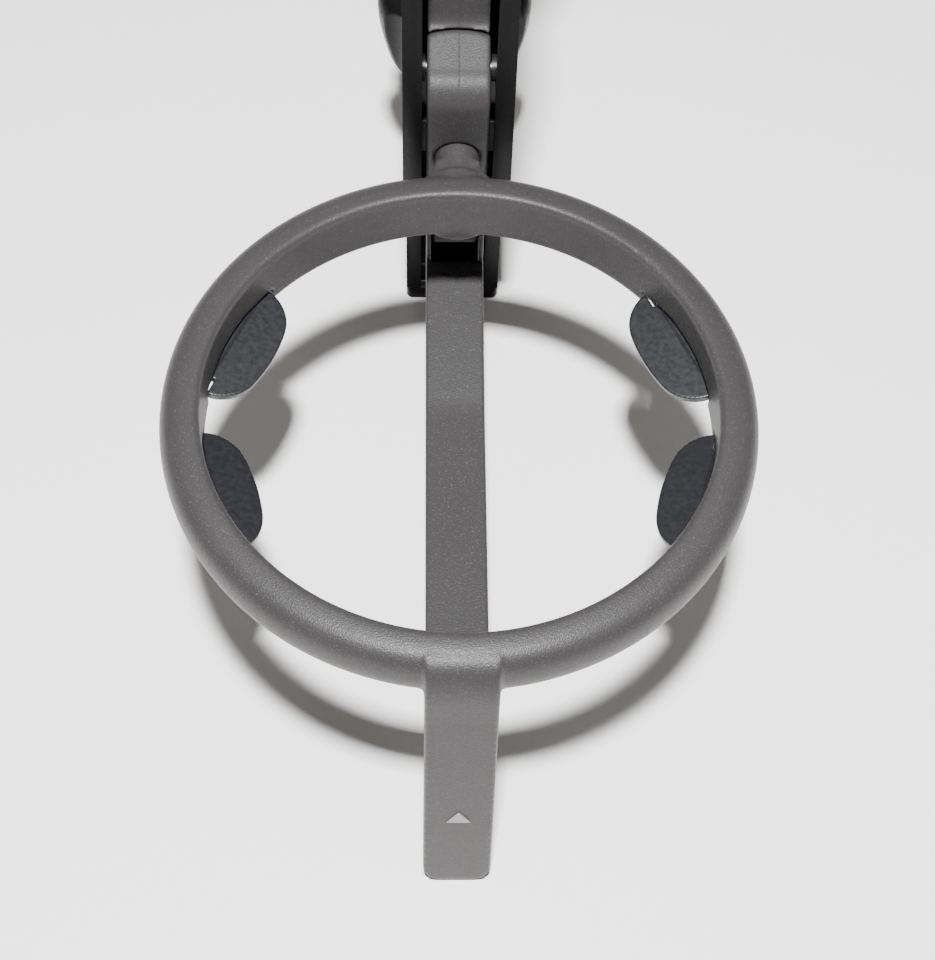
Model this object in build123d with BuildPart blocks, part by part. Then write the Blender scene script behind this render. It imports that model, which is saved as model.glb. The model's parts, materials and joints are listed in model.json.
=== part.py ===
from build123d import *
import os

# Desk clamp cup holder.
# Millimetres, +Z up, +Y from the cup towards the desk edge, +X to the right.
# Origin: the centre of the cup ring, on the plane of its top rim.

# ---- cup ring ----
RING_INNER_R = 40.9
RING_OUTER_R = 47.5
RING_HEIGHT = 11.0
RING_BELLY_Z = -4.3
TAB_WIDTH = 11.2
TAB_CORNER_R = 4.2
TAB_END_Z = -58.1
SWIVEL_Z = -6.1
NECK_R = 3.9
SPIGOT_R = 3.2
BOSS_R = 5.9
BOSS_Z = -7.0

# ---- gripping flaps ----
FLAP_PIN_DISTANCE = 41.2
FLAP_PIN_Z = -8.6
FLAP_PIN_R = 0.5
FLAP_BARREL_R = 1.0
FLAP_GAP = 0.35
FLAP_HALF_WIDTH = 11.3
FLAP_SPRING_X = 9.9
FLAP_TIP_HALF_WIDTH = 5.5
FLAP_REACH = 7.6
FLAP_THICKNESS = 1.5
FLAP_LEAN = 75.0
FLAP_ANGLES = {
    "flap_back_right": 24.4,
    "flap_front_right": -17.8,
    "flap_back_left": 155.6,
    "flap_front_left": 197.8,
}

# ---- folding arm ----
ARM_WIDTH = 10.8
ARM_FRONT_Y = 54.2
ARM_BACK_Y = 64.0
FOLD_Y = 62.0
FOLD_Z = 8.5
FOLD_PIN_R = 1.5
SHOULDER_R = 6.3
SUPPORT_Y = 57.0
SUPPORT_Z = -27.0
SUPPORT_PIN_R = 1.2
EAR_R = 4.6
EAR_INNER_X = 4.4
TONGUE_R = 3.4

# ---- cup support ----
SUPPORT_TOP_Z = -36.0
SUPPORT_WIDTH = 10.6
SUPPORT_THICKNESS = 3.6
SUPPORT_FRONT_Y = -41.5

# ---- rail ----
RAIL_FRONT_Y = 63.2
RAIL_BACK_Y = 82.0
RAIL_BOTTOM_Z = -54.5
FOOT_HEIGHT = 3.4
RAIL_TOP_Z = 94.0
RAIL_HALF_WIDTH = 9.0
CHEEK_HALF_WIDTH = 9.5
CHEEK_BOTTOM_Z = -20.0
WALL = 1.7
RAIL_MIDDLE_Y = (RAIL_FRONT_Y + RAIL_BACK_Y) / 2
RAIL_INSIDE_X = RAIL_HALF_WIDTH - WALL
LIP_INNER_X = 6.2

# ---- desk clamp ----
SCREW_Y = 98.5
SCREW_R = 3.9
JAW_HALF_WIDTH = 15.0
JAW_THICKNESS = 4.5
LOWER_JAW_Z = 30.0
PAD_R = 10.0
KNOB_R = 14.6
KNOB_BOTTOM_Z = -26.0
KNOB_TOP_Z = -8.0
KNOB_LOBES = 7
JAW_BOLT_Z = (44.0, 56.0)
TOP_BOLT_Z = (72.0, 86.0)

POINTER_PLANE = Plane((0, -55.52, -38.6), x_dir=(1, 0, 0), z_dir=(0, -0.985, 0.174))
FOLD_POINT = (FOLD_Y, FOLD_Z)
SUPPORT_POINT = (SUPPORT_Y, SUPPORT_Z)


def towards_back(y, z=0.0):
    """A plane at depth y whose normal is +Y, centred on height z."""
    return Plane((0, y, z), x_dir=(1, 0, 0), z_dir=(0, 1, 0))


def flap_frame(angle, tilt=0.0):
    """The frame of one flap hinge: X along its pin, Y inwards, Z up, turned by tilt about the pin."""
    return (
        Location((0, 0, FLAP_PIN_Z), (0, 0, angle + 90))
        * Location((0, -FLAP_PIN_DISTANCE, 0))
        * Location((0, 0, 0), (tilt, 0, 0))
    )


def fold_barrel(radius):
    """A crowned barrel about the fold pin: the shoulder's end, and the hollow it turns in."""
    with BuildPart() as barrel:
        with BuildSketch(Plane.XY.offset(FOLD_Z)):
            with BuildLine():
                ThreePointArc(
                    (-ARM_WIDTH, FOLD_Y + radius - 3.2),
                    (0, FOLD_Y + radius),
                    (ARM_WIDTH, FOLD_Y + radius - 3.2),
                )
                Polyline(
                    (ARM_WIDTH, FOLD_Y + radius - 3.2),
                    (ARM_WIDTH, FOLD_Y),
                    (-ARM_WIDTH, FOLD_Y),
                    (-ARM_WIDTH, FOLD_Y + radius - 3.2),
                )
            make_face()
        revolve(axis=Axis((0, FOLD_Y, FOLD_Z), (1, 0, 0)))
    return barrel.part


def save(part, label):
    """Name a finished sub-part and write it to its own file."""
    part.label = label
    export_step(part, f"parts/{label}.step")


os.makedirs("parts", exist_ok=True)


# ======================= cup ring =======================

# Finger tab, leaning outwards as it goes down, with rounded corners at its end
with BuildPart() as tab:
    with BuildSketch(Plane.YZ):
        with BuildLine():
            Spline(
                (-43.6, -0.3),
                (-48.4, -3.2),
                (-50.4, -12),
                tangents=((-1, 0), (-0.18, -0.98)),
            )
            ThreePointArc((-50.4, -12), (-54.6, -34.3), (-58.3, -56.7))
            ThreePointArc((-58.3, -56.7), (-57.3, -57.9), (-55.9, -57.0))
            Polyline((-55.9, -57.0), (-48.2, -13.5), (-44.2, -8.5), (-43.6, -0.3))
        make_face()
    extrude(amount=TAB_WIDTH / 2, both=True)
    with BuildSketch(Plane.XZ.offset(40)):
        with Locations((0, TAB_END_Z + 35)):
            RectangleRounded(TAB_WIDTH, 70, TAB_CORNER_R)
    extrude(amount=22, mode=Mode.INTERSECT)

# Rounded ring section, front finger tab, rear boss and the round spigot that enters the arm
with BuildPart() as ring:
    with BuildSketch(Plane.XZ):
        with BuildLine():
            Line((RING_INNER_R, -9.8), (RING_INNER_R, -1.1))
            ThreePointArc(
                (RING_INNER_R, -1.1),
                (RING_INNER_R + 0.35, -0.35),
                (RING_INNER_R + 1.1, 0),
            )
            Spline(
                (RING_INNER_R + 1.1, 0),
                (RING_OUTER_R, RING_BELLY_Z),
                (RING_INNER_R + 2.4, -RING_HEIGHT),
                tangents=((1, 0), (-1, -0.45)),
            )
            ThreePointArc(
                (RING_INNER_R + 2.4, -RING_HEIGHT),
                (RING_INNER_R + 0.7, -10.8),
                (RING_INNER_R, -9.8),
            )
        make_face()
    revolve(axis=Axis.Z)

    add(tab.part)

    # webs that spread the neck into the ring
    with BuildSketch(Plane.XY.offset(-9.4)):
        with Locations((0, 48.8)):
            Rectangle(19.0, 5.6)
        with Locations((-9.5, 51.6), (9.5, 51.6)):
            Circle(9.5 - NECK_R, mode=Mode.SUBTRACT)
    extrude(amount=6.6)

    # rear boss, neck and spigot
    with BuildSketch(towards_back(41.6, BOSS_Z)):
        Circle(BOSS_R)
    extrude(amount=7.0)
    with BuildSketch(towards_back(48.6, SWIVEL_Z)):
        Circle(NECK_R)
    extrude(amount=6.4)
    with BuildSketch(towards_back(55.0, SWIVEL_Z)):
        Circle(SPIGOT_R)
    extrude(amount=8.6)
    with BuildSketch(towards_back(61.35, SWIVEL_Z)):
        Circle(SPIGOT_R + 0.5)
        Circle(SPIGOT_R - 0.65, mode=Mode.SUBTRACT)
    extrude(amount=1.0, mode=Mode.SUBTRACT)

    # hinge troughs, flap recesses and pin holes
    for angle in FLAP_ANGLES.values():
        frame = flap_frame(angle)
        with BuildSketch(Plane(frame * Location((0, 0.2, 0), (90, 0, 0)))):
            with Locations((0, FLAP_BARREL_R)):
                Rectangle(2 * FLAP_HALF_WIDTH + 1.0, 6.5, align=(Align.CENTER, Align.MAX))
        extrude(amount=-9.0, mode=Mode.SUBTRACT)
        with Locations(frame * Location((0, 0, 0), (0, 90, 0))):
            Cylinder(
                radius=FLAP_BARREL_R + FLAP_GAP,
                height=2 * FLAP_HALF_WIDTH + 1.0,
                mode=Mode.SUBTRACT,
            )
            Cylinder(
                radius=FLAP_PIN_R + 0.02,
                height=2 * FLAP_HALF_WIDTH + 4.0,
                mode=Mode.SUBTRACT,
            )
save(ring.part, "ring")

# Raised pointer: a plain triangle standing a little proud of the tab's face
with BuildPart() as tab_pointer:
    with BuildSketch(POINTER_PLANE):
        with BuildLine():
            Polyline((0, 2.9), (-1.9, 0), (1.9, 0), close=True)
        make_face()
    extrude(amount=-0.7)
    add(ring.part, mode=Mode.SUBTRACT)
save(tab_pointer.part, "tab_pointer")

# Wave washer and retaining clip on the spigot, behind the arm
with BuildPart() as spigot_washer:
    with BuildSketch(towards_back(60.6, SWIVEL_Z)):
        Circle(4.4)
        Circle(SPIGOT_R + 0.05, mode=Mode.SUBTRACT)
    extrude(amount=0.6)
save(spigot_washer.part, "spigot_washer")

with BuildPart() as spigot_clip:
    with BuildSketch(towards_back(61.4, SWIVEL_Z)):
        Circle(4.3)
        Circle(SPIGOT_R - 0.6, mode=Mode.SUBTRACT)
        with Locations((0, 4)):
            Rectangle(3.4, 6, mode=Mode.SUBTRACT)
    extrude(amount=0.9)
save(spigot_clip.part, "spigot_clip")

# Hinge pins and coil springs of the four flaps
with BuildPart() as flap_pins:
    for angle in FLAP_ANGLES.values():
        with Locations(flap_frame(angle) * Location((0, 0, 0), (0, 90, 0))):
            Cylinder(radius=FLAP_PIN_R, height=2 * FLAP_HALF_WIDTH + 3.6)
save(flap_pins.part, "flap_pins")

with BuildPart() as flap_springs:
    for angle in FLAP_ANGLES.values():
        with Locations(flap_frame(angle) * Location((FLAP_SPRING_X, 0, 0), (0, 90, 0))):
            Cylinder(radius=FLAP_BARREL_R, height=2.4)
            Cylinder(radius=FLAP_PIN_R + 0.05, height=2.8, mode=Mode.SUBTRACT)
save(flap_springs.part, "flap_springs")

# One gripping flap per recess: a petal whose hinge barrel leaves room for the spring at one end
for name, angle in FLAP_ANGLES.items():
    frame = flap_frame(angle, FLAP_LEAN)
    with BuildPart() as flap:
        with BuildSketch(Plane(frame * Location((0, FLAP_THICKNESS / 2, 0), (90, 0, 0)))):
            with BuildLine():
                Polyline(
                    (-FLAP_HALF_WIDTH, -1.6),
                    (-FLAP_HALF_WIDTH, 0),
                    (FLAP_HALF_WIDTH, 0),
                    (FLAP_HALF_WIDTH, -1.6),
                )
                for side in (-1, 1):
                    ThreePointArc(
                        (side * FLAP_HALF_WIDTH, -1.6),
                        (side * 9.4, -5.1),
                        (side * FLAP_TIP_HALF_WIDTH, -FLAP_REACH + 0.5),
                    )
                ThreePointArc(
                    (FLAP_TIP_HALF_WIDTH, -FLAP_REACH + 0.5),
                    (0, -FLAP_REACH),
                    (-FLAP_TIP_HALF_WIDTH, -FLAP_REACH + 0.5),
                )
            make_face()
        extrude(amount=FLAP_THICKNESS)
        with Locations(frame * Location((0, 0, 0), (0, 90, 0))):
            Cylinder(radius=FLAP_BARREL_R, height=2 * FLAP_HALF_WIDTH)
            Cylinder(radius=FLAP_PIN_R + 0.06, height=2 * FLAP_HALF_WIDTH + 1, mode=Mode.SUBTRACT)
        with Locations(frame * Location((FLAP_SPRING_X, 0, 0), (0, 90, 0))):
            Cylinder(radius=FLAP_BARREL_R + 0.4, height=3.2, mode=Mode.SUBTRACT)
    save(flap.part, name)

# ======================= folding arm =======================

# What is cut off the shoulder so that it turns inside the cover strip
with BuildPart() as shoulder_trim:
    with Locations((0, FOLD_Y + 6.0, FOLD_Z + 1.0)):
        Box(2 * ARM_WIDTH, 12.0, 16.0)
    add(fold_barrel(SHOULDER_R), mode=Mode.SUBTRACT)

# Shoulder, leg that takes the ring's spigot, and a tongue for the cup support
with BuildPart() as upper_arm:
    with BuildSketch(Plane.YZ):
        with BuildLine():
            Line((ARM_FRONT_Y, -21.2), (ARM_FRONT_Y, 5.4))
            ThreePointArc((ARM_FRONT_Y, 5.4), (55.3, 9.2), (58.6, 11.3))
            Line((58.6, 11.3), (66.0, 14.4))
            Polyline((66.0, 14.4), (69.0, 10.0), (67.0, 0.5))
            Polyline((67.0, 0.5), (ARM_BACK_Y, 0.5), (ARM_BACK_Y, -14.0), (60.5, -21.2))
            Line((60.5, -21.2), (ARM_FRONT_Y, -21.2))
        make_face()
    extrude(amount=ARM_WIDTH / 2, both=True)
    add(shoulder_trim.part, mode=Mode.SUBTRACT)
    with BuildSketch(Plane.YZ):
        with Locations(SUPPORT_POINT):
            Circle(TONGUE_R)
        with BuildLine():
            Polyline(
                (SUPPORT_Y - TONGUE_R + 0.6, -20.0),
                (61.0, -20.0),
                (SUPPORT_Y + TONGUE_R, SUPPORT_Z),
                (SUPPORT_Y - TONGUE_R, SUPPORT_Z),
                close=True,
            )
        make_face()
    extrude(amount=EAR_INNER_X - 0.35, both=True)
    # bore for the neck and the swivel bush, and the pocket behind it for the clip
    with BuildSketch(towards_back(ARM_FRONT_Y - 1, SWIVEL_Z)):
        Circle(NECK_R + 0.15)
    extrude(amount=1.8, mode=Mode.SUBTRACT)
    with BuildSketch(towards_back(55.0, SWIVEL_Z)):
        Circle(SPIGOT_R + 0.9)
    extrude(amount=5.4, mode=Mode.SUBTRACT)
    with BuildSketch(towards_back(60.3, SWIVEL_Z)):
        Circle(4.7)
    extrude(amount=6.0, mode=Mode.SUBTRACT)
    # fold pin and support pin holes
    with BuildSketch(Plane.YZ.offset(-ARM_WIDTH)):
        with Locations(FOLD_POINT):
            Circle(FOLD_PIN_R + 0.05)
        with Locations(SUPPORT_POINT):
            Circle(SUPPORT_PIN_R + 0.02)
    extrude(amount=2 * ARM_WIDTH, mode=Mode.SUBTRACT)
save(upper_arm.part, "upper_arm")

# Bearing bush for the ring's spigot
with BuildPart() as swivel_bush:
    with BuildSketch(towards_back(55.15, SWIVEL_Z)):
        Circle(SPIGOT_R + 0.85)
        Circle(SPIGOT_R + 0.05, mode=Mode.SUBTRACT)
    extrude(amount=5.2)
save(swivel_bush.part, "swivel_bush")

# Pin through the ears that carries the cup support
with BuildPart() as support_pin:
    with BuildSketch(Plane.YZ.offset(-ARM_WIDTH / 2 + 0.1)):
        with Locations(SUPPORT_POINT):
            Circle(SUPPORT_PIN_R)
    extrude(amount=ARM_WIDTH - 0.2)
save(support_pin.part, "support_pin")

# Rear cover plate over the clip pocket
with BuildPart() as arm_back_plate:
    with Locations((0, ARM_BACK_Y + 0.6, SWIVEL_Z)):
        Box(ARM_WIDTH - 1.0, 1.2, 12.4)
    fillet(arm_back_plate.edges().filter_by(Axis.Y), 1.2)
save(arm_back_plate.part, "arm_back_plate")

# ======================= cup support =======================

# Fork outside the arm's tongue, cranked down to a flat bar under the ring and hollow underneath
with BuildPart() as support_arm:
    with BuildSketch(Plane.YZ):
        with BuildLine():
            Line((51.6, -31.2), (25.0, SUPPORT_TOP_Z + 0.5))
            ThreePointArc(
                (25.0, SUPPORT_TOP_Z + 0.5),
                (22.5, SUPPORT_TOP_Z + 0.12),
                (20.0, SUPPORT_TOP_Z),
            )
            Line((20.0, SUPPORT_TOP_Z), (SUPPORT_FRONT_Y, SUPPORT_TOP_Z))
            ThreePointArc(
                (SUPPORT_FRONT_Y, SUPPORT_TOP_Z),
                (SUPPORT_FRONT_Y - 1.6, SUPPORT_TOP_Z - 1.4),
                (SUPPORT_FRONT_Y, SUPPORT_TOP_Z - 2.8),
            )
            Polyline(
                (SUPPORT_FRONT_Y, SUPPORT_TOP_Z - 2.8),
                (20.0, SUPPORT_TOP_Z - SUPPORT_THICKNESS),
                (50.4, -35.8),
                (51.6, -31.2),
            )
        make_face()
    extrude(amount=SUPPORT_WIDTH / 2, both=True)
    # fork cheeks
    for side in (-1, 1):
        with BuildSketch(Plane.YZ.offset(side * (SUPPORT_WIDTH / 2 + EAR_INNER_X) / 2)):
            with Locations(SUPPORT_POINT):
                Circle(EAR_R)
            with BuildLine():
                Polyline(
                    (52.0, -31.4),
                    (52.4, -26.4),
                    (SUPPORT_Y, -22.5),
                    (60.6, -30.0),
                    (55.6, -33.4),
                    (50.0, -35.6),
                    (47.0, -32.6),
                    close=True,
                )
            make_face()
        extrude(amount=(SUPPORT_WIDTH / 2 - EAR_INNER_X) / 2, both=True)
    # hollow underside between the side walls, crossed by ribs
    with BuildSketch(Plane.YZ):
        with BuildLine():
            Polyline(
                (49.0, -33.6),
                (20.0, SUPPORT_TOP_Z - 1.5),
                (SUPPORT_FRONT_Y + 3, SUPPORT_TOP_Z - 1.5),
                (SUPPORT_FRONT_Y + 3, SUPPORT_TOP_Z - 6),
                (49.0, SUPPORT_TOP_Z - 6),
                close=True,
            )
        make_face()
    extrude(amount=SUPPORT_WIDTH / 2 - 1.1, both=True, mode=Mode.SUBTRACT)
    with Locations(*[(0, y, SUPPORT_TOP_Z - 2.1) for y in (-24.0, -9.0, 6.0, 20.0)]):
        Box(SUPPORT_WIDTH - 1.0, 1.2, 1.8)
    with BuildSketch(Plane.YZ.offset(-ARM_WIDTH)):
        with Locations(SUPPORT_POINT):
            Circle(SUPPORT_PIN_R + 0.06)
    extrude(amount=2 * ARM_WIDTH, mode=Mode.SUBTRACT)
save(support_arm.part, "support_arm")

# ======================= rail =======================

# C-section rail with an open front slot and two wider cheeks beside the arm
with BuildPart() as rail_housing:
    with BuildSketch(Plane.YZ):
        with BuildLine():
            Polyline(
                (RAIL_FRONT_Y, RAIL_BOTTOM_Z),
                (RAIL_FRONT_Y, RAIL_TOP_Z),
                (RAIL_BACK_Y, RAIL_TOP_Z),
                (RAIL_BACK_Y, RAIL_BOTTOM_Z),
                close=True,
            )
        make_face()
    extrude(amount=RAIL_HALF_WIDTH, both=True)
    with BuildSketch(Plane.YZ):
        with BuildLine():
            Polyline(
                (70.0, CHEEK_BOTTOM_Z - 6),
                (RAIL_FRONT_Y, CHEEK_BOTTOM_Z - 6),
                (53.6, CHEEK_BOTTOM_Z + 1),
                (52.2, -12.0),
                (56.0, 30.0),
                (56.0, RAIL_TOP_Z),
                (70.0, RAIL_TOP_Z),
                close=True,
            )
        make_face()
    extrude(amount=CHEEK_HALF_WIDTH, both=True)
    # inside of the section, then the slot between the lips
    with Locations((0, RAIL_MIDDLE_Y, 20)):
        Box(2 * RAIL_INSIDE_X, RAIL_BACK_Y - RAIL_FRONT_Y - 2 * WALL, 160, mode=Mode.SUBTRACT)
    with BuildSketch(Plane.YZ):
        with BuildLine():
            Polyline(
                (65.0, CHEEK_BOTTOM_Z - 4),
                (55.2, CHEEK_BOTTOM_Z + 2),
                (53.9, -12.0),
                (57.6, 30.0),
                (57.6, RAIL_TOP_Z + 2),
                (65.0, RAIL_TOP_Z + 2),
                close=True,
            )
        make_face()
    extrude(amount=RAIL_INSIDE_X, both=True, mode=Mode.SUBTRACT)
    with Locations((0, 60.0, 20)):
        Box(2 * LIP_INNER_X, 30, 160, mode=Mode.SUBTRACT)
    # fold pin holes and the bolt holes of the lower jaw
    with BuildSketch(Plane.YZ.offset(-20)):
        with Locations(FOLD_POINT):
            Circle(FOLD_PIN_R + 0.02)
    extrude(amount=40, mode=Mode.SUBTRACT)
    with BuildSketch(towards_back(RAIL_BACK_Y - 5)):
        with Locations((0, -JAW_BOLT_Z[0]), (0, -JAW_BOLT_Z[1]), (0, -TOP_BOLT_Z[0]), (0, -TOP_BOLT_Z[1])):
            Circle(2.1)
    extrude(amount=10, mode=Mode.SUBTRACT)
    fillet(rail_housing.edges().filter_by(Axis.Z).group_by(Axis.Y)[-1], 1.5)
save(rail_housing.part, "rail_housing")

# Foot cap that closes the rail's lower end
with BuildPart() as rail_foot_cap:
    with Locations((0, RAIL_MIDDLE_Y, RAIL_BOTTOM_Z - FOOT_HEIGHT / 2)):
        Box(2 * RAIL_HALF_WIDTH, RAIL_BACK_Y - RAIL_FRONT_Y, FOOT_HEIGHT)
    fillet(rail_foot_cap.edges().filter_by(Axis.Z), 1.2)
    with Locations((0, RAIL_MIDDLE_Y, RAIL_BOTTOM_Z + 2.5)):
        Box(2 * RAIL_INSIDE_X - 0.3, RAIL_BACK_Y - RAIL_FRONT_Y - 2 * WALL - 0.3, 5.0)
save(rail_foot_cap.part, "rail_foot_cap")

# Hinge pin of the arm with its two spacing washers
with BuildPart() as fold_pin:
    with BuildSketch(Plane.YZ.offset(-CHEEK_HALF_WIDTH + 0.2)):
        with Locations(FOLD_POINT):
            Circle(FOLD_PIN_R)
    extrude(amount=2 * CHEEK_HALF_WIDTH - 0.4)
save(fold_pin.part, "fold_pin")

with BuildPart() as fold_washers:
    for side in (-1, 1):
        with BuildSketch(Plane.YZ.offset(side * 6.35 - 0.7)):
            with Locations(FOLD_POINT):
                Circle(2.3)
                Circle(FOLD_PIN_R + 0.05, mode=Mode.SUBTRACT)
        extrude(amount=1.4)
save(fold_washers.part, "fold_washers")

# Rubber block inside the rail that the arm's leg rests against
with BuildPart() as arm_stop:
    with Locations((0, (65.6 + RAIL_BACK_Y - WALL) / 2, -13.0)):
        Box(2 * RAIL_INSIDE_X - 0.2, RAIL_BACK_Y - WALL - 65.6 - 0.1, 8.0)
save(arm_stop.part, "arm_stop")

# Curved strip that covers the open rail above the arm and carries on the arm's top surface
with BuildPart() as cover_strip:
    with BuildSketch(Plane.YZ):
        with BuildLine():
            Line((63.0, 13.15), (65.3, 14.1))
            Spline((65.3, 14.1), (66.9, 17.5), (67.6, 25.0), tangents=((0.92, 0.39), (0, 1)))
            Polyline(
                (67.6, 25.0),
                (67.6, RAIL_TOP_Z - 1),
                (72.0, RAIL_TOP_Z - 1),
                (72.0, 11.0),
                (63.0, 11.0),
                (63.0, 13.15),
            )
        make_face()
    extrude(amount=5.3, both=True)
    add(fold_barrel(SHOULDER_R + 0.32), mode=Mode.SUBTRACT)
    with Locations((0, 71.0, 60.0)):
        Box(2 * RAIL_INSIDE_X - 0.3, 2.0, 66.0)
save(cover_strip.part, "cover_strip")

# ======================= desk clamp =======================

# Upper jaw: a plate on the rail's top with a leg down inside its back wall
with BuildPart() as upper_jaw:
    with BuildSketch(Plane.XY.offset(RAIL_TOP_Z)):
        with BuildLine():
            Polyline(
                (-CHEEK_HALF_WIDTH, 56.0),
                (CHEEK_HALF_WIDTH, 56.0),
                (CHEEK_HALF_WIDTH, 74.0),
                (JAW_HALF_WIDTH, 82.0),
                (JAW_HALF_WIDTH, 120.0),
                (-JAW_HALF_WIDTH, 120.0),
                (-JAW_HALF_WIDTH, 82.0),
                (-CHEEK_HALF_WIDTH, 74.0),
                close=True,
            )
        make_face()
    extrude(amount=JAW_THICKNESS)
    fillet(upper_jaw.edges().filter_by(Axis.Z).group_by(Axis.Y)[-1], 4.0)
    with Locations((0, 78.5, RAIL_TOP_Z - 14)):
        Box(2 * RAIL_INSIDE_X - 0.3, 3.4, 28.0)
    with BuildSketch(towards_back(75)):
        with Locations((0, -TOP_BOLT_Z[0]), (0, -TOP_BOLT_Z[1])):
            Circle(1.65)
    extrude(amount=6, mode=Mode.SUBTRACT)
save(upper_jaw.part, "upper_jaw")

with BuildPart() as upper_jaw_pad:
    with Locations((0, 102.5, RAIL_TOP_Z - 1.0)):
        Box(26.0, 30.0, 2.0)
    fillet(upper_jaw_pad.edges().filter_by(Axis.Z), 3.0)
save(upper_jaw_pad.part, "upper_jaw_pad")

# Lower jaw: a leg on the rail's back, a shelf and a boss for the screw
with BuildPart() as lower_jaw:
    with Locations((0, RAIL_BACK_Y + 1.75, LOWER_JAW_Z + 16)):
        Box(2 * RAIL_HALF_WIDTH, 3.5, 32.0)
    with BuildSketch(Plane.XY.offset(LOWER_JAW_Z)):
        with BuildLine():
            Polyline(
                (-RAIL_HALF_WIDTH, RAIL_BACK_Y),
                (RAIL_HALF_WIDTH, RAIL_BACK_Y),
                (JAW_HALF_WIDTH - 2, SCREW_Y),
                (JAW_HALF_WIDTH - 2, 110.0),
                (-JAW_HALF_WIDTH + 2, 110.0),
                (-JAW_HALF_WIDTH + 2, SCREW_Y),
                close=True,
            )
        make_face()
    extrude(amount=5.0)
    fillet(lower_jaw.edges().filter_by(Axis.Z).group_by(Axis.Y)[-1], 5.0)
    with BuildSketch(Plane.XY.offset(LOWER_JAW_Z)):
        with Locations((0, SCREW_Y)):
            Circle(8.0)
    extrude(amount=7.5)
    for side in (-1, 1):
        with BuildSketch(Plane.YZ.offset(side * 7.4 - 1.2)):
            with BuildLine():
                Polyline((85.0, 34.5), (90.6, 34.5), (85.0, 50.0), close=True)
            make_face()
        extrude(amount=2.4)
    with Locations((0, SCREW_Y, LOWER_JAW_Z)):
        Cylinder(radius=5.52, height=40, mode=Mode.SUBTRACT)
    with BuildSketch(towards_back(RAIL_BACK_Y - 1)):
        with Locations((0, -JAW_BOLT_Z[0]), (0, -JAW_BOLT_Z[1])):
            Circle(2.1)
    extrude(amount=10, mode=Mode.SUBTRACT)
save(lower_jaw.part, "lower_jaw")

with BuildPart() as threaded_insert:
    with BuildSketch(Plane.XY.offset(LOWER_JAW_Z)):
        with Locations((0, SCREW_Y)):
            Circle(5.5)
            Circle(SCREW_R + 0.08, mode=Mode.SUBTRACT)
    extrude(amount=7.5)
save(threaded_insert.part, "threaded_insert")

# Button-head bolts through the rail, with nuts on the lower pair
with BuildPart() as jaw_bolts:
    for height in JAW_BOLT_Z:
        with BuildSketch(towards_back(RAIL_BACK_Y - 6.0, height)):
            Circle(2.0)
        extrude(amount=9.5)
        with BuildSketch(towards_back(RAIL_BACK_Y + 3.5, height)):
            Circle(3.6)
        extrude(amount=2.0)
    fillet(jaw_bolts.edges().filter_by(GeomType.CIRCLE).group_by(Axis.Y)[-1], 1.0)
save(jaw_bolts.part, "jaw_bolts")

with BuildPart() as jaw_nuts:
    for height in JAW_BOLT_Z:
        with BuildSketch(towards_back(RAIL_BACK_Y - WALL - 3.2, height)):
            RegularPolygon(radius=4.0, side_count=6)
            Circle(2.02, mode=Mode.SUBTRACT)
        extrude(amount=3.15)
save(jaw_nuts.part, "jaw_nuts")

with BuildPart() as top_bolts:
    for height in TOP_BOLT_Z:
        with BuildSketch(towards_back(76.9, height)):
            Circle(1.6)
        extrude(amount=RAIL_BACK_Y - 76.9)
        with BuildSketch(towards_back(RAIL_BACK_Y, height)):
            Circle(3.2)
        extrude(amount=1.8)
    fillet(top_bolts.edges().filter_by(GeomType.CIRCLE).group_by(Axis.Y)[-1], 0.9)
save(top_bolts.part, "top_bolts")

# Clamp screw with a necked tip for the swivel pad
with BuildPart() as clamp_screw:
    with BuildSketch(Plane.XY.offset(KNOB_BOTTOM_Z + 4)):
        with Locations((0, SCREW_Y)):
            Circle(SCREW_R)
    extrude(amount=38.0 - KNOB_BOTTOM_Z - 4)
    with BuildSketch(Plane.XY.offset(38.0)):
        with Locations((0, SCREW_Y)):
            Circle(2.5)
    extrude(amount=3.9)
save(clamp_screw.part, "clamp_screw")

# Lobed knob, narrower towards its lower face
with BuildPart() as knob:
    with BuildSketch(Plane.XZ):
        with BuildLine():
            Line((0, KNOB_BOTTOM_Z), (8.5, KNOB_BOTTOM_Z))
            Spline(
                (8.5, KNOB_BOTTOM_Z),
                (13.4, KNOB_BOTTOM_Z + 6),
                (KNOB_R, KNOB_TOP_Z - 3),
                tangents=((1, 0.05), (0, 1)),
            )
            ThreePointArc(
                (KNOB_R, KNOB_TOP_Z - 3),
                (KNOB_R - 1.2, KNOB_TOP_Z - 0.7),
                (KNOB_R - 4, KNOB_TOP_Z),
            )
            Line((KNOB_R - 4, KNOB_TOP_Z), (0, KNOB_TOP_Z))
            Line((0, KNOB_TOP_Z), (0, KNOB_BOTTOM_Z))
        make_face()
    revolve(axis=Axis.Z)
    with BuildSketch(Plane.XY.offset(KNOB_BOTTOM_Z - 1)):
        with PolarLocations(KNOB_R + 2.6, KNOB_LOBES, start_angle=90 + 180 / KNOB_LOBES):
            Circle(4.6)
    extrude(amount=22, mode=Mode.SUBTRACT)
    with Locations((0, 0, KNOB_TOP_Z)):
        Cylinder(radius=SCREW_R + 0.02, height=28, mode=Mode.SUBTRACT)
    with Locations((0, 0, KNOB_BOTTOM_Z)):
        Cylinder(radius=6.0, height=3.0, mode=Mode.SUBTRACT)
save(knob.part.moved(Location((0, SCREW_Y, 0))), "knob")

with BuildPart() as knob_cap:
    with BuildSketch(Plane.XY.offset(KNOB_BOTTOM_Z + 0.1)):
        with Locations((0, SCREW_Y)):
            Circle(5.9)
    extrude(amount=1.3)
save(knob_cap.part, "knob_cap")

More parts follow.
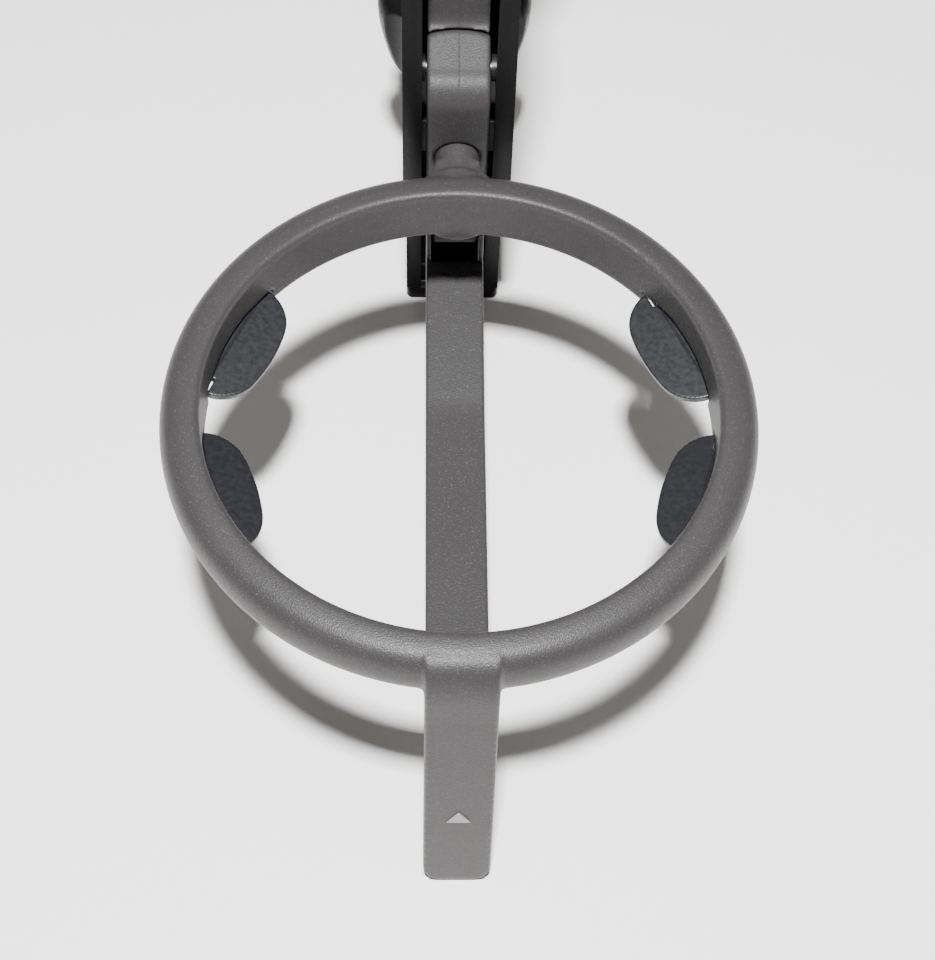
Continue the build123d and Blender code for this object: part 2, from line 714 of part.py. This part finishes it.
# Swivel pad on the screw's tip, its rubber face and the ring that keeps it on
with BuildPart() as swivel_pad:
    with BuildSketch(Plane.XY.offset(38.2)):
        with Locations((0, SCREW_Y)):
            Circle(5.0)
            Circle(2.55, mode=Mode.SUBTRACT)
    extrude(amount=4.0)
    with BuildSketch(Plane.XY.offset(42.2)):
        with Locations((0, SCREW_Y)):
            Circle(PAD_R)
    extrude(amount=2.0)
save(swivel_pad.part, "swivel_pad")

with BuildPart() as pad_rubber:
    with BuildSketch(Plane.XY.offset(44.2)):
        with Locations((0, SCREW_Y)):
            Circle(PAD_R - 0.4)
    extrude(amount=1.8)
    fillet(pad_rubber.edges().group_by(Axis.Z)[-1], 0.6)
save(pad_rubber.part, "pad_rubber")
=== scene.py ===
import json
import math

import bmesh
import bpy
from mathutils import Matrix, Vector


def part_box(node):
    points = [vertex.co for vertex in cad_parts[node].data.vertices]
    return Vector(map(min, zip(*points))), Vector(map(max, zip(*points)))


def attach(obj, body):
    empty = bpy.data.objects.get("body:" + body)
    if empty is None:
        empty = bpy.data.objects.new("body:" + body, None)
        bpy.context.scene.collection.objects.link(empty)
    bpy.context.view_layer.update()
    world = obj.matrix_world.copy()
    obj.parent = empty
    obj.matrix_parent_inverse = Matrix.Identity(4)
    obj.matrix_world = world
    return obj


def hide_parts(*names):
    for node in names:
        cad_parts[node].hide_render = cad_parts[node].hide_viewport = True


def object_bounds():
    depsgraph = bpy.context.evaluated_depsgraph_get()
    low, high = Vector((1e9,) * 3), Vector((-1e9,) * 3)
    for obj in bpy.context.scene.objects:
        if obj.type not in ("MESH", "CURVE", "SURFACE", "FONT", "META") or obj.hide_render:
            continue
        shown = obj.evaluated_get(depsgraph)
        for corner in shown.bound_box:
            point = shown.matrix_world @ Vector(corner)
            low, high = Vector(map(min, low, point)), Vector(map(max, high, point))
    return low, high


# The looks of the desk clamp cup holder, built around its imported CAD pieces.
# Lengths are in metres, in the frame of the CAD pieces: X across, Y towards the desk, Z up.

MM = 0.001

# mouldings: the grid they are remeshed on and how often they are smoothed
PLASTIC_VOXEL = 0.32 * MM
FLAP_VOXEL = 0.16 * MM
RING_PASSES = 5
RING_EXTRA_PASSES = 24
UPPER_ARM_PASSES = 9
PLASTIC_PASSES = 6
FLAP_PASSES = 8
SMOOTH_FACTOR = 0.5

# where the ring is smoothed further: its finger tab in front and its neck behind
TAB_START = 45.5 * MM
TAB_FULL = 48.5 * MM
TAB_HALF_WIDTH = 10 * MM
NECK_START = 44 * MM
NECK_FULL = 46 * MM
NECK_END = 54 * MM
NECK_HALF_WIDTH = 12 * MM
FADE = 2 * MM

# bevels and shading of the pieces with flat faces
BODY_BEVEL = 0.35 * MM
THIN_BEVEL = 0.2 * MM
BEVEL_SEGMENTS = 3
BEVEL_ANGLE = math.radians(40)
FLAT_ANGLE = math.radians(1)
MERGE_DISTANCE = 0.001 * MM
SHARP_ANGLE = math.radians(38)

# clamp hardware
TURNED_SEGMENTS = 36
BOLT_HEAD_LENGTHS = {"jaw_bolts": 2.0 * MM, "top_bolts": 1.8 * MM}
BOLT_CHAMFER = 0.4 * MM
BOLT_TIP_RATIO = 0.8
SHANK_RATIO = 0.53
SOCKET_RATIO = 0.5
SOCKET_DEPTH = 1.2 * MM
HEAD_WALL_RATIO = 0.4
HEAD_EDGE_RATIO = 0.78
HEAD_EDGE_DROP = 0.12 * MM
HEAD_TOP_RATIO = 0.66
SCREW_PITCH = 2.0 * MM
SCREW_CORE_RATIO = 0.8
THREAD_DEPTH = 0.65 * MM
FLANK_SLOPE = 1.3
ROWS_PER_TURN = 10
SCREW_NECK_LENGTH = 3.9 * MM
SCREW_NECK_RADIUS = 2.5 * MM
SCREW_TIP_RADIUS = 2.1 * MM
SCREW_TIP_LENGTH = 0.4 * MM
PAD_RIM = 0.5 * MM
GROOVE_COUNT = 3
FIRST_GROOVE = 1.6 * MM
GROOVE_SPACING = 2.4 * MM
GROOVE_WIDTH = 1.2 * MM
GROOVE_SLOPE = 0.3 * MM
GROOVE_DEPTH = 0.5 * MM
CAP_RIM = 0.3 * MM
CAP_RIM_WIDTH = 1.1 * MM
CAP_DISH_SLOPE = 0.4 * MM
CAP_DISH_DEPTH = 0.5 * MM
CAP_CENTRE_RADIUS = 2.0 * MM
CAP_CENTRE_TOP_RADIUS = 1.6 * MM
CAP_CENTRE_DROP = 0.1 * MM

# torsion springs of the flaps
COIL_TURNS = 5
COIL_STEPS = 18
COIL_LENGTH = 1.9 * MM
COIL_OFFSET = 9.9 * MM
COIL_RADIUS = 0.8 * MM
WIRE_RADIUS = 0.18 * MM
WIRE_SIDES = 6

# camera and floor
CAMERA_PLACE = Vector((-6.65, -166.8, 245.9)) * MM
CAMERA_TARGET = Vector((0.93, -15.3, 0)) * MM
CAMERA_ROLL = math.radians(2.65)
CAMERA_LENS = 70.95
SENSOR_WIDTH = 36
CLIP_START = 10 * MM
FLOOR_SIZE = 4
FLOOR_COLOUR = (0.96, 0.95, 0.94, 1)
WORLD_COLOUR = (1, 0.94, 0.88, 1)
WORLD_STRENGTH = 0.13

FLAPS = [f"flap_{end}_{side}" for side in ("left", "right") for end in ("back", "front")]

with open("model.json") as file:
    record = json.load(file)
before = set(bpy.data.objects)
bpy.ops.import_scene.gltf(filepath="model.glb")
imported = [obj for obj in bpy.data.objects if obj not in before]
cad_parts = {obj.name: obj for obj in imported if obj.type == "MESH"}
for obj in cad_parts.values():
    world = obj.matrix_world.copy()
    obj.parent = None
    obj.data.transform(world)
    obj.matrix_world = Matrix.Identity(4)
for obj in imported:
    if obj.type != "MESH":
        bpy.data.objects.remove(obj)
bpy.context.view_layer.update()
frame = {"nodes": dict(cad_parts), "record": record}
nodes = frame["nodes"]


# ---------------------------------------------------------------- shader helpers


def new_material(name):
    """An empty node material with its output and one principled shader."""
    material = bpy.data.materials.new(name)
    material.use_nodes = True
    tree = material.node_tree
    tree.nodes.clear()
    output = tree.nodes.new("ShaderNodeOutputMaterial")
    shader = tree.nodes.new("ShaderNodeBsdfPrincipled")
    tree.links.new(shader.outputs["BSDF"], output.inputs["Surface"])
    return material, tree, shader


def object_position(tree):
    """Object coordinates, which are metres in the row frame."""
    return tree.nodes.new("ShaderNodeTexCoord").outputs["Object"]


def noise(tree, scale, detail=3.0, roughness=0.55):
    """A noise pattern with that many features per metre."""
    node = tree.nodes.new("ShaderNodeTexNoise")
    node.inputs["Scale"].default_value = scale
    node.inputs["Detail"].default_value = detail
    node.inputs["Roughness"].default_value = roughness
    tree.links.new(object_position(tree), node.inputs["Vector"])
    return node.outputs["Fac"]


def cells(tree, scale):
    """Distance to the nearest of many scattered points: the pebbles of a moulded grain."""
    node = tree.nodes.new("ShaderNodeTexVoronoi")
    node.inputs["Scale"].default_value = scale
    tree.links.new(object_position(tree), node.inputs["Vector"])
    return node.outputs["Distance"]


def spread(tree, value, low, high, out_low, out_high):
    """Maps value from low..high to out_low..out_high, clamped."""
    node = tree.nodes.new("ShaderNodeMapRange")
    tree.links.new(value, node.inputs["Value"])
    node.inputs["From Min"].default_value = low
    node.inputs["From Max"].default_value = high
    node.inputs["To Min"].default_value = out_low
    node.inputs["To Max"].default_value = out_high
    return node.outputs["Result"]


def mix_colour(tree, fac, colour_a, colour_b):
    """Colour a, plain or another mix, where fac is 0 and plain colour b where it is 1."""
    node = tree.nodes.new("ShaderNodeMix")
    node.data_type = "RGBA"
    tree.links.new(fac, node.inputs["Factor"])
    if isinstance(colour_a, tuple):
        node.inputs["A"].default_value = (*colour_a, 1)
    else:
        tree.links.new(colour_a, node.inputs["A"])
    node.inputs["B"].default_value = (*colour_b, 1)
    return node.outputs["Result"]


def raise_surface(tree, shader, height, distance, strength=1.0):
    """Bumps the surface by height times distance metres, on top of any bump it already has."""
    node = tree.nodes.new("ShaderNodeBump")
    node.inputs["Strength"].default_value = strength
    node.inputs["Distance"].default_value = distance
    tree.links.new(height, node.inputs["Height"])
    earlier = shader.inputs["Normal"].links
    if earlier:
        tree.links.new(earlier[0].from_socket, node.inputs["Normal"])
    tree.links.new(node.outputs["Normal"], shader.inputs["Normal"])


# ---------------------------------------------------------------- materials


def tinted(colour, factor, lift=0.0):
    """The colour made lighter or darker by a factor, then lifted by a constant."""
    return tuple(min(1, c * factor + lift) for c in colour)


def grained_plastic(
    name, colour, grains_per_metre, depth, roughness, painted_glint_strength=0.0, specular=0.34
):
    """Moulded polymer: a fine pebbled grain, faint cloudiness and painted highlights, tiny bright
    specks that stand for glints of light on the grain's facets.
    """
    material, tree, shader = new_material(name)
    cloud = noise(tree, scale=70, detail=5, roughness=0.62)
    clouded = mix_colour(tree, cloud, tinted(colour, 0.88), tinted(colour, 1.14))
    # painted highlight: scattered specks of the base colour made three times lighter, painted glints
    # standing for light caught by the grain's facets
    glint_noise = noise(tree, scale=grains_per_metre * 1.1, detail=1, roughness=0.5)
    painted_glints = spread(tree, glint_noise, 0.62, 0.78, 0, painted_glint_strength)
    glinted_colour = mix_colour(tree, painted_glints, clouded, tinted(colour, 3.0, lift=0.03))
    tree.links.new(glinted_colour, shader.inputs["Base Color"])
    fine = noise(tree, scale=grains_per_metre * 0.8, detail=2, roughness=0.6)
    tree.links.new(
        spread(tree, fine, 0.3, 0.7, roughness - 0.07, roughness + 0.07),
        shader.inputs["Roughness"],
    )
    shader.inputs["Specular IOR Level"].default_value = specular
    raise_surface(tree, shader, cells(tree, grains_per_metre), depth)
    roughening = noise(tree, scale=grains_per_metre * 2.2, detail=1)
    raise_surface(tree, shader, roughening, depth * 0.5)
    return material


def satin_rubber(name, colour, roughness):
    """Smooth elastomer: soft sheen, very fine texture and a little dust-grey variation."""
    material, tree, shader = new_material(name)
    dust = noise(tree, scale=150, detail=5)
    dusty = mix_colour(tree, dust, colour, tinted(colour, 1.35, lift=0.002))
    tree.links.new(dusty, shader.inputs["Base Color"])
    gloss = noise(tree, scale=1200, detail=2)
    tree.links.new(
        spread(tree, gloss, 0.3, 0.7, roughness - 0.05, roughness + 0.07),
        shader.inputs["Roughness"],
    )
    shader.inputs["Sheen Weight"].default_value = 0.05
    shader.inputs["Sheen Roughness"].default_value = 0.5
    raise_surface(tree, shader, noise(tree, scale=2600, detail=2), 0.02 * MM, 0.4)
    return material


def worn_metal(name, colour, roughness):
    """Plated or turned metal with fine brushing, mottled plating and slight scuffs."""
    material, tree, shader = new_material(name)
    shader.inputs["Metallic"].default_value = 1.0
    mottling = noise(tree, scale=420, detail=4)
    mottled = mix_colour(tree, mottling, tinted(colour, 0.8), colour)
    tree.links.new(mottled, shader.inputs["Base Color"])
    brushing = noise(tree, scale=1400, detail=3)
    tree.links.new(
        spread(tree, brushing, 0.3, 0.7, roughness - 0.07, roughness + 0.12),
        shader.inputs["Roughness"],
    )
    raise_surface(tree, shader, noise(tree, scale=2800, detail=2), 0.01 * MM, 0.5)
    return material


def powder_coat(name, colour):
    """Powder-coated steel: orange-peel skin over a slightly cloudy black."""
    material, tree, shader = new_material(name)
    cloud = noise(tree, scale=120, detail=3)
    tree.links.new(
        mix_colour(tree, cloud, colour, tinted(colour, 1.4)),
        shader.inputs["Base Color"],
    )
    shader.inputs["Roughness"].default_value = 0.42
    raise_surface(tree, shader, noise(tree, scale=1500, detail=2), 0.05 * MM, 0.6)
    return material


def shader_of(material):
    """The principled shader of a material."""
    return next(node for node in material.node_tree.nodes if node.type == "BSDF_PRINCIPLED")


def mould_line(material):
    """Adds the faint raised line that a split mould leaves along the middle plane."""
    tree = material.node_tree
    parts = tree.nodes.new("ShaderNodeSeparateXYZ")
    tree.links.new(object_position(tree), parts.inputs["Vector"])
    off_middle = tree.nodes.new("ShaderNodeMath")
    off_middle.operation = "ABSOLUTE"
    tree.links.new(parts.outputs["X"], off_middle.inputs[0])
    ridge = spread(tree, off_middle.outputs["Value"], 0, 0.2 * MM, 1, 0)
    raise_surface(tree, shader_of(material), ridge, 0.06 * MM, 0.6)


def ribbed(material, ribs_per_metre, depth):
    """Adds straight ribs across a rubber face, running front to back."""
    tree = material.node_tree
    wave = tree.nodes.new("ShaderNodeTexWave")
    wave.inputs["Scale"].default_value = ribs_per_metre
    tree.links.new(object_position(tree), wave.inputs["Vector"])
    raise_surface(tree, shader_of(material), wave.outputs["Fac"], depth)


GREY = (0.033, 0.0316, 0.0318)
NEAR_BLACK = (0.0025, 0.0025, 0.003)
RUBBER_BLACK = (0.008, 0.008, 0.009)

grey_fine = grained_plastic(
    "grey_fine_grain", GREY, grains_per_metre=3800, depth=0.03 * MM, roughness=0.42,
    painted_glint_strength=0.5, specular=0.26,
)
grey_lined = grained_plastic(
    "grey_lined", GREY, grains_per_metre=3800, depth=0.026 * MM, roughness=0.46,
    painted_glint_strength=0.4, specular=0.2,
)
mould_line(grey_lined)
grey_coarse = grained_plastic(
    "grey_coarse_grain", GREY, grains_per_metre=3000, depth=0.04 * MM, roughness=0.48,
    painted_glint_strength=0.5, specular=0.2,
)
black_satin = grained_plastic(
    "black_satin", NEAR_BLACK, grains_per_metre=3600, depth=0.015 * MM, roughness=0.4,
    specular=0.12,
)
knob_plastic = grained_plastic(
    "knob_plastic", NEAR_BLACK, grains_per_metre=2400, depth=0.03 * MM, roughness=0.42,
    specular=0.16,
)
flap_rubber = satin_rubber("flap_rubber", (0.003, 0.0036, 0.0055), roughness=0.42)
black_rubber = satin_rubber("black_rubber", RUBBER_BLACK, roughness=0.62)
ribbed_rubber = satin_rubber("ribbed_rubber", RUBBER_BLACK, roughness=0.6)
ribbed(ribbed_rubber, ribs_per_metre=90, depth=0.6 * MM)
dark_acetal = grained_plastic(
    "dark_acetal", (0.01, 0.01, 0.011), grains_per_metre=2000, depth=0.02 * MM, roughness=0.4
)
light_inlay = grained_plastic(
    "light_inlay", (0.26, 0.26, 0.26), grains_per_metre=2600, depth=0.02 * MM, roughness=0.5
)
zinc = worn_metal("zinc_plate", (0.45, 0.45, 0.44), roughness=0.32)
dark_steel = worn_metal("dark_steel", (0.09, 0.09, 0.1), roughness=0.38)
brass = worn_metal("turned_brass", (0.75, 0.52, 0.22), roughness=0.28)
black_coat = powder_coat("black_powder_coat", (0.01, 0.01, 0.012))

MATERIAL_OF = {
    "rail_housing": black_satin,
    "rail_foot_cap": black_satin,
    "fold_pin": dark_steel,
    "fold_washers": dark_acetal,
    "arm_stop": black_rubber,
    "cover_strip": grey_lined,
    "upper_jaw": black_coat,
    "upper_jaw_pad": ribbed_rubber,
    "lower_jaw": black_coat,
    "threaded_insert": brass,
    "jaw_bolts": dark_steel,
    "jaw_nuts": zinc,
    "top_bolts": dark_steel,
    "upper_arm": grey_lined,
    "arm_back_plate": grey_fine,
    "swivel_bush": dark_acetal,
    "support_pin": zinc,
    "ring": grey_fine,
    "tab_pointer": light_inlay,
    "spigot_washer": zinc,
    "spigot_clip": dark_steel,
    "flap_pins": dark_steel,
    "flap_springs": dark_steel,
    "support_arm": grey_coarse,
    "swivel_pad": dark_steel,
    "pad_rubber": black_rubber,
    "clamp_screw": zinc,
    "knob": knob_plastic,
    "knob_cap": grey_fine,
}
for name in FLAPS:
    MATERIAL_OF[name] = flap_rubber


def dress(piece, material):
    """Gives a piece that one material."""
    piece.data.materials.clear()
    piece.data.materials.append(material)


for name, material in MATERIAL_OF.items():
    dress(nodes[name], material)


# ---------------------------------------------------------------- moulded pieces with rounded edges


def body_of_node(name):
    """The body that holds that CAD node."""
    bodies = frame["record"]["behaviour"]["bodies"]
    return next(body for body, members in bodies.items() if name in members)


def stand_for(piece, name):
    """Lets the piece move with, replace and look like that CAD node."""
    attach(piece, body_of_node(name))
    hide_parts(name)
    dress(piece, MATERIAL_OF[name])


def baked(piece):
    """Turns the piece's modifiers into plain mesh, so that its vertices can be weighted."""
    bpy.context.view_layer.update()
    evaluated = piece.evaluated_get(bpy.context.evaluated_depsgraph_get())
    piece.data = bpy.data.meshes.new_from_object(evaluated)
    piece.modifiers.clear()


def smooth_more(piece, modifier_name, passes, group_name=""):
    """Adds a smoothing modifier, held to a vertex group if one is named."""
    smooth = piece.modifiers.new(modifier_name, "SMOOTH")
    smooth.factor = SMOOTH_FACTOR
    smooth.iterations = passes
    smooth.vertex_group = group_name


def soften(name, voxel, passes, extra_passes=0, extra_where=None):
    """Shows a CAD node as a moulding: the same solid with its edges and inner corners rounded.

    Extra passes round it further where extra_where(vertex place) gives more than 0.
    """
    source = nodes[name]
    piece = bpy.data.objects.new(f"{name}_moulded", source.data.copy())
    bpy.context.scene.collection.objects.link(piece)
    remesh = piece.modifiers.new("voxels", "REMESH")
    remesh.mode = "VOXEL"
    remesh.voxel_size = voxel
    remesh.use_smooth_shade = True
    smooth_more(piece, "rounding", passes)
    if extra_passes:
        baked(piece)
        group = piece.vertex_groups.new(name="rounder")
        for vertex in piece.data.vertices:
            weight = extra_where(vertex.co)
            if weight > 0:
                group.add([vertex.index], weight, "REPLACE")
        smooth_more(piece, "rounder", extra_passes, group.name)
    stand_for(piece, name)


def ramp(value, start, end):
    """0 before start, 1 after end, straight between."""
    return max(0.0, min(1.0, (value - start) / (end - start)))


def tab_and_neck(place):
    """How far a point of the ring belongs to the finger tab or to the neck behind the ring."""
    from_middle = abs(place.x)
    tab = ramp(-place.y, TAB_START, TAB_FULL)
    tab_across = ramp(TAB_HALF_WIDTH - from_middle, 0, FADE)
    neck = ramp(place.y, NECK_START, NECK_FULL) * ramp(NECK_END - place.y, 0, FADE)
    neck_across = ramp(NECK_HALF_WIDTH - from_middle, 0, FADE)
    return max(tab * tab_across, neck * neck_across)


soften("ring", PLASTIC_VOXEL, RING_PASSES, RING_EXTRA_PASSES, tab_and_neck)
soften("upper_arm", PLASTIC_VOXEL, UPPER_ARM_PASSES)
for name in ("support_arm", "cover_strip", "knob"):
    soften(name, PLASTIC_VOXEL, PLASTIC_PASSES)
for name in FLAPS:
    soften(name, FLAP_VOXEL, FLAP_PASSES)


def bevelled(name, width):
    """Shows a CAD node of flat faces with every sharp edge broken by a small rounded bevel."""
    piece = bpy.data.objects.new(f"{name}_bevelled", nodes[name].data.copy())
    bpy.context.scene.collection.objects.link(piece)
    mesh = bmesh.new()
    mesh.from_mesh(piece.data)
    bmesh.ops.remove_doubles(mesh, verts=mesh.verts, dist=MERGE_DISTANCE)
    bmesh.ops.dissolve_limit(
        mesh,
        angle_limit=FLAT_ANGLE,
        verts=mesh.verts,
        edges=mesh.edges,
    )
    mesh.to_mesh(piece.data)
    mesh.free()
    piece.data.shade_smooth()
    bevel = piece.modifiers.new("edges", "BEVEL")
    bevel.width = width
    bevel.segments = BEVEL_SEGMENTS
    bevel.limit_method = "ANGLE"
    bevel.angle_limit = BEVEL_ANGLE
    bevel.harden_normals = True
    stand_for(piece, name)


for name in ("rail_housing", "rail_foot_cap", "upper_jaw", "lower_jaw", "arm_stop"):
    bevelled(name, BODY_BEVEL)
for name in ("upper_jaw_pad", "arm_back_plate", "swivel_pad"):
    bevelled(name, THIN_BEVEL)


# ---------------------------------------------------------------- turned, threaded and coiled pieces


def made_piece(node, vertices, faces):
    """A smooth-shaded piece that stands for that CAD node."""
    data = bpy.data.meshes.new(f"{node}_made")
    data.from_pydata(vertices, [], faces)
    mesh = bmesh.new()
    mesh.from_mesh(data)
    bmesh.ops.recalc_face_normals(mesh, faces=mesh.faces)
    mesh.to_mesh(data)
    mesh.free()
    data.shade_smooth()
    data.set_sharp_from_angle(angle=SHARP_ANGLE)
    piece = bpy.data.objects.new(data.name, data)
    bpy.context.scene.collection.objects.link(piece)
    stand_for(piece, node)


def joined_rows(rows, start):
    """Quads between closed rows of vertices numbered from start, with a cap on each end."""
    count = len(rows[0])
    faces = []
    for r in range(len(rows) - 1):
        for k in range(count):
            a = start + r * count + k
            b = start + r * count + (k + 1) % count
            faces.append((a, b, b + count, a + count))
    last = start + (len(rows) - 1) * count
    faces.append(tuple(range(start, start + count)))
    faces.append(tuple(range(last, last + count)))
    return faces


def turned(node, places, rows):
    """Lathe-turned solids, one at each (origin, axis) of places.

    Each row is (distance along the axis, radius); a radius may be a function of the angle.
    """
    vertices = []
    faces = []
    for origin, axis in places:
        axis = Vector(axis).normalized()
        side = axis.orthogonal().normalized()
        other = axis.cross(side)
        solid = []
        for distance, radius in rows:
            row = []
            for k in range(TURNED_SEGMENTS):
                angle = 2 * math.pi * k / TURNED_SEGMENTS
                reach = radius(angle) if callable(radius) else radius
                around = side * math.cos(angle) + other * math.sin(angle)
                row.append(Vector(origin) + axis * distance + around * reach)
            solid.append(row)
        faces += joined_rows(solid, len(vertices))
        vertices += [vertex for row in solid for vertex in row]
    made_piece(node, vertices, faces)


def hexagon(radius):
    """The outline of a hexagon with that corner radius, as a function of the angle."""
    flat = radius * math.cos(math.pi / 6)
    return lambda angle: flat / math.cos(angle % (math.pi / 3) - math.pi / 6)


def thread(radius, turns_done):
    """One row of a screw thread, as a function of the angle."""

    def reach(angle):
        phase = (turns_done - angle / (2 * math.pi)) % 1.0
        return radius - THREAD_DEPTH * min(1.0, FLANK_SLOPE * abs(2 * phase - 1))

    return reach


def socket_bolt(shank, head, head_start, head_end, socket):
    """Rows of a button-head bolt whose axis starts at the shank's free end."""
    return [
        (0, shank * BOLT_TIP_RATIO),
        (BOLT_CHAMFER, shank),
        (head_start, shank),
        (head_start, head),
        (head_start + HEAD_WALL_RATIO * (head_end - head_start), head),
        (head_end - HEAD_EDGE_DROP, head * HEAD_EDGE_RATIO),
        (head_end, head * HEAD_TOP_RATIO),
        (head_end, hexagon(socket)),
        (head_end - SOCKET_DEPTH, hexagon(socket)),
    ]


def middle_and_size(node):
    """The centre and the size of a CAD node's box."""
    corner_a, corner_b = (Vector(corner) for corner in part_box(node))
    return (corner_a + corner_b) / 2, corner_b - corner_a


# bolts through the rail: two in the lower jaw, two in the upper jaw's leg
for node, head_length in BOLT_HEAD_LENGTHS.items():
    middle, size = middle_and_size(node)
    head_radius = size.x / 2
    spacing = size.z - size.x
    start_y = middle.y - size.y / 2
    turned(
        node,
        [((0, start_y, middle.z + side * spacing / 2), (0, 1, 0)) for side in (-1, 1)],
        socket_bolt(
            head_radius * SHANK_RATIO,
            head_radius,
            size.y - head_length,
            size.y,
            head_radius * SOCKET_RATIO,
        ),
    )

# clamp screw: trapezoidal thread, chamfered end and a plain neck for the swivel pad
middle, size = middle_and_size("clamp_screw")
screw_radius = size.x / 2
thread_length = size.z - SCREW_NECK_LENGTH
row_count = int(thread_length / SCREW_PITCH * ROWS_PER_TURN)
screw_rows = [(0, screw_radius * SCREW_CORE_RATIO)]
for row in range(1, row_count):
    distance = row * SCREW_PITCH / ROWS_PER_TURN
    screw_rows.append((distance, thread(screw_radius, distance / SCREW_PITCH)))
screw_rows += [
    (thread_length, screw_radius * SCREW_CORE_RATIO),
    (thread_length, SCREW_NECK_RADIUS),
    (size.z - SCREW_TIP_LENGTH, SCREW_NECK_RADIUS),
    (size.z, SCREW_TIP_RADIUS),
]
turned("clamp_screw", [((middle.x, middle.y, middle.z - size.z / 2), (0, 0, 1))], screw_rows)

# swivel pad's rubber face: rounded rim and three ring grooves
middle, size = middle_and_size("pad_rubber")
pad_radius = size.x / 2
pad_rows = [(0, pad_radius), (size.z - PAD_RIM, pad_radius), (size.z, pad_radius - PAD_RIM)]
for groove in range(GROOVE_COUNT):
    outer = pad_radius - FIRST_GROOVE - groove * GROOVE_SPACING
    pad_rows += [
        (size.z, outer),
        (size.z - GROOVE_DEPTH, outer - GROOVE_SLOPE),
        (size.z - GROOVE_DEPTH, outer - GROOVE_WIDTH + GROOVE_SLOPE),
        (size.z, outer - GROOVE_WIDTH),
    ]
turned("pad_rubber", [((middle.x, middle.y, middle.z - size.z / 2), (0, 0, 1))], pad_rows)

# knob cap: a shallow dish with a raised centre, facing down
middle, size = middle_and_size("knob_cap")
cap_radius = size.x / 2
turned(
    "knob_cap",
    [((middle.x, middle.y, middle.z + size.z / 2), (0, 0, -1))],
    [
        (0, cap_radius),
        (size.z - CAP_RIM, cap_radius),
        (size.z, cap_radius - CAP_RIM),
        (size.z, cap_radius - CAP_RIM_WIDTH),
        (size.z - CAP_DISH_DEPTH, cap_radius - CAP_RIM_WIDTH - CAP_DISH_SLOPE),
        (size.z - CAP_DISH_DEPTH, CAP_CENTRE_RADIUS),
        (size.z - CAP_CENTRE_DROP, CAP_CENTRE_TOP_RADIUS),
    ],
)


def coil_rows(joint):
    """Rows of vertices along the coiled wire around that flap joint's pin."""
    axis = Vector(joint["axis"]).normalized()
    side = axis.orthogonal().normalized()
    other = axis.cross(side)
    rows = []
    steps = COIL_TURNS * COIL_STEPS
    for step in range(steps + 1):
        angle = 2 * math.pi * step / COIL_STEPS
        out = side * math.cos(angle) + other * math.sin(angle)
        along = COIL_LENGTH * (step / steps - 0.5) + COIL_OFFSET
        centre = Vector(joint["pos_m"]) + axis * along + out * COIL_RADIUS
        row = []
        for k in range(WIRE_SIDES):
            turn = 2 * math.pi * k / WIRE_SIDES
            across = out * math.cos(turn) + axis * math.sin(turn)
            row.append(centre + across * WIRE_RADIUS)
        rows.append(row)
    return rows


# torsion springs: a coil of wire around each flap's pin
coil_vertices = []
coil_faces = []
for joint in frame["record"]["behaviour"]["joints"]:
    if joint["name"].startswith("flap_"):
        rows = coil_rows(joint)
        coil_faces += joined_rows(rows, len(coil_vertices))
        coil_vertices += [vertex for row in rows for vertex in row]
made_piece("flap_springs", coil_vertices, coil_faces)


# ---------------------------------------------------------------- floor, light and camera

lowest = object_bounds()[0].z
floor_material, floor_tree, floor_shader = new_material("pale_floor")
floor_shader.inputs["Base Color"].default_value = FLOOR_COLOUR
floor_shader.inputs["Roughness"].default_value = 0.75
raise_surface(floor_tree, floor_shader, noise(floor_tree, scale=60), 0.6 * MM, 0.25)
bpy.ops.mesh.primitive_plane_add(size=FLOOR_SIZE, location=(0, 0, lowest))
floor = bpy.context.object
floor.name = "floor"
dress(floor, floor_material)


def softbox(name, location, target, size, power):
    """A square area light that faces the target."""
    data = bpy.data.lights.new(name, "AREA")
    data.size = size
    data.energy = power
    light = bpy.data.objects.new(name, data)
    bpy.context.scene.collection.objects.link(light)
    light.location = location
    aim = Vector(target) - Vector(location)
    light.rotation_euler = aim.to_track_quat("-Z", "Y").to_euler()


softbox("key", location=(-0.02, -0.165, 0.65), target=(0, 0, -0.03), size=0.05, power=17)
softbox("fill", location=(0.5, -0.3, 0.6), target=(0, 0, 0), size=0.5, power=0.5)
softbox("back", location=(-0.2, 0.7, 0.6), target=(0, 0, 0), size=0.5, power=0.6)

world = bpy.data.worlds.new("studio")
bpy.context.scene.world = world
world.use_nodes = True
background = world.node_tree.nodes["Background"]
background.inputs["Color"].default_value = WORLD_COLOUR
background.inputs["Strength"].default_value = WORLD_STRENGTH

camera_data = bpy.data.cameras.new("camera")
camera_data.lens = CAMERA_LENS
camera_data.sensor_width = SENSOR_WIDTH
camera_data.clip_start = CLIP_START
camera = bpy.data.objects.new("camera", camera_data)
bpy.context.scene.collection.objects.link(camera)
aim = (CAMERA_TARGET - CAMERA_PLACE).to_track_quat("-Z", "Y").to_matrix().to_4x4()
camera.matrix_world = (
    Matrix.Translation(CAMERA_PLACE) @ aim @ Matrix.Rotation(CAMERA_ROLL, 4, "Z")
)
bpy.context.scene.camera = camera
